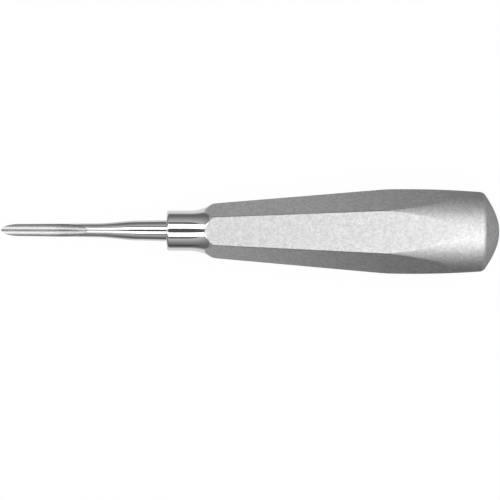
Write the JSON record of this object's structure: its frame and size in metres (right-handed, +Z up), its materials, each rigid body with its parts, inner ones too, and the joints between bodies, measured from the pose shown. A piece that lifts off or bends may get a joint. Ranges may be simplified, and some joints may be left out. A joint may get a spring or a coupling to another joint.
{
  "type": "surgical elevator",
  "caption": "Steel hand instrument: a slim blade with a ground trough and a swelling round shank, fixed in the polished neck of a tapering hexagonal matte handle with a domed end.",
  "frame": {"origin": "on the handle's lowest flat, under the middle of the flat, where the instrument lies on a table", "axes": "+Z up, +X along the table from the blade's tip towards the domed end, +Y across; the blade's trough faces up"},
  "size_m": [0.1445, 0.0246, 0.0242],
  "materials": {
    "polished_steel": "mirror polished along the blade, shank and neck",
    "blasted_steel": "fine bead-blasted matte"
  },
  "bodies": {
    "root": {"working_end": "polished_steel", "handle_shell": "blasted_steel", "end_cap": "blasted_steel"}
  },
  "joints": []
}
